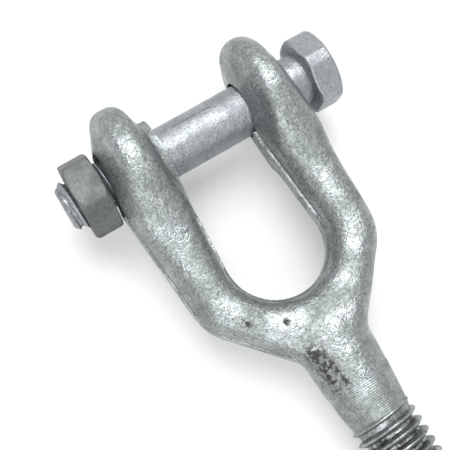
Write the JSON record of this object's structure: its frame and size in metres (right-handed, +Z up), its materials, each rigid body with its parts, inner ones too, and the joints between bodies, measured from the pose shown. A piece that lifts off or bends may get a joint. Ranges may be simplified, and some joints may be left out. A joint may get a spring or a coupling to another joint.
{
  "type": "jaw end with clevis bolt",
  "caption": "Forged galvanised jaw end with a threaded shank, a hexagon clevis bolt through its ears and a hexagon nut.",
  "frame": {"origin": "on the clevis bolt's axis, midway between the two ears", "axes": "+X along the clevis bolt towards its head, -Y along the threaded shank, +Z up, square to the plane of the fork"},
  "size_m": [0.0445, 0.1151, 0.0202],
  "materials": {
    "galvanised_forging": "hot-dip galvanised, rough and spangled",
    "galvanised_bolt": "hot-dip galvanised, satin",
    "galvanised_nut": "hot-dip galvanised, matt"
  },
  "bodies": {
    "jaw": {"jaw": "galvanised_forging"},
    "bolt": {"clevis_bolt": "galvanised_bolt"},
    "nut": {"hex_nut": "galvanised_nut"}
  },
  "joints": [
    {"name": "nut_turn", "type": "hinge", "parent": "jaw", "child": "nut", "pos_m": [-0.0185, 0, 0], "axis": [-1, 0, 0], "range_deg": [-434, 1633]},
    {"name": "bolt_slide", "type": "slide", "parent": "jaw", "child": "bolt", "axis": [1, 0, 0], "range_m": [-0.0017, 0.0064]}
  ],
  "couplings": [
    {"joint": "nut_turn", "follows": "bolt_slide", "rad_per_m": 4452.6}
  ]
}
